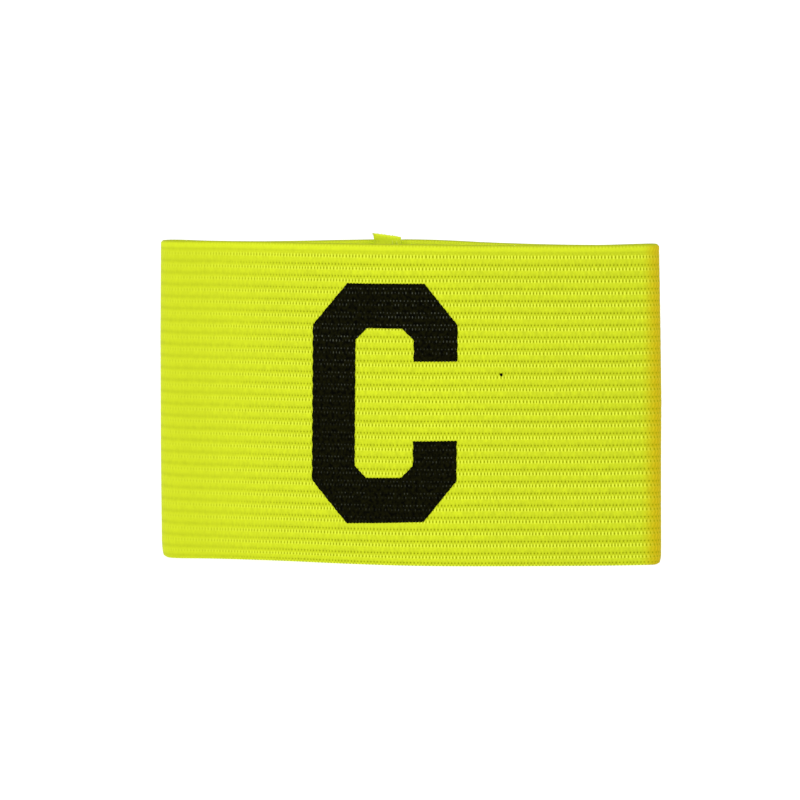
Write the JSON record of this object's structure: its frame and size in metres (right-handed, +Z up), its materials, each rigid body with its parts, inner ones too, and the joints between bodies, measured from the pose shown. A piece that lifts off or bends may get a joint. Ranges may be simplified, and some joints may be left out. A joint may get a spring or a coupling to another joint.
{
  "type": "captain armband",
  "caption": "Wide ribbed elastic armband in neon yellow with a block letter on the front, standing open on its lower edge.",
  "frame": {"origin": "middle of the footprint, on the surface that the armband stands on", "axes": "+Z up along the arm, +X along the flattened loop to the right of the letter, the letter on the -Y side"},
  "size_m": [0.119, 0.0274, 0.0767],
  "materials": {
    "webbing": "matte neon yellow elastic webbing, knitted in broad smooth ribs with rows of small holes between",
    "print": "matte black textile ink, broken up a little by the ribs"
  },
  "bodies": {
    "root": {"webbing_loop": "webbing", "sewn_ends": "webbing", "printed_letter": "print"}
  },
  "joints": []
}
